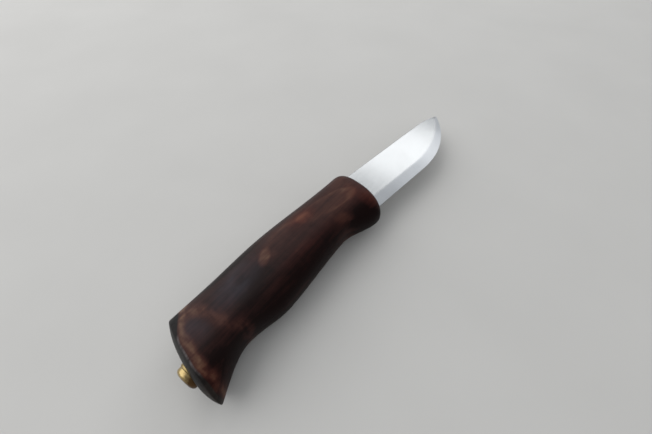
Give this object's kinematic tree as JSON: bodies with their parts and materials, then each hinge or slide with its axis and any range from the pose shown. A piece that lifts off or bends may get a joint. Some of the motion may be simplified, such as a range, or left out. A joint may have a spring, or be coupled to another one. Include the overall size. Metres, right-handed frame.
{
  "type": "bushcraft knife",
  "caption": "Fixed-blade belt knife: ground steel blade on a through tang, carved dark wood handle with finger groove and flared butt, clamped by a domed brass nut.",
  "frame": {"origin": "on the tang's middle line at the handle's front face, in the middle of the blade's thickness", "axes": "+X along the tang towards the tip, +Y towards the spine, +Z square to the blade's flats; the knife lies on its side"},
  "size_m": [0.2083, 0.0398, 0.0252],
  "materials": {
    "steel": "satin ground",
    "wood": "dark stain, satin oil",
    "adhesive": "matt",
    "brass": "worn polish"
  },
  "bodies": {
    "root": {"blade": "steel", "handle": "wood", "tang_bedding": "adhesive", "tang_washer": "brass", "tang_nut": "brass"}
  },
  "joints": []
}
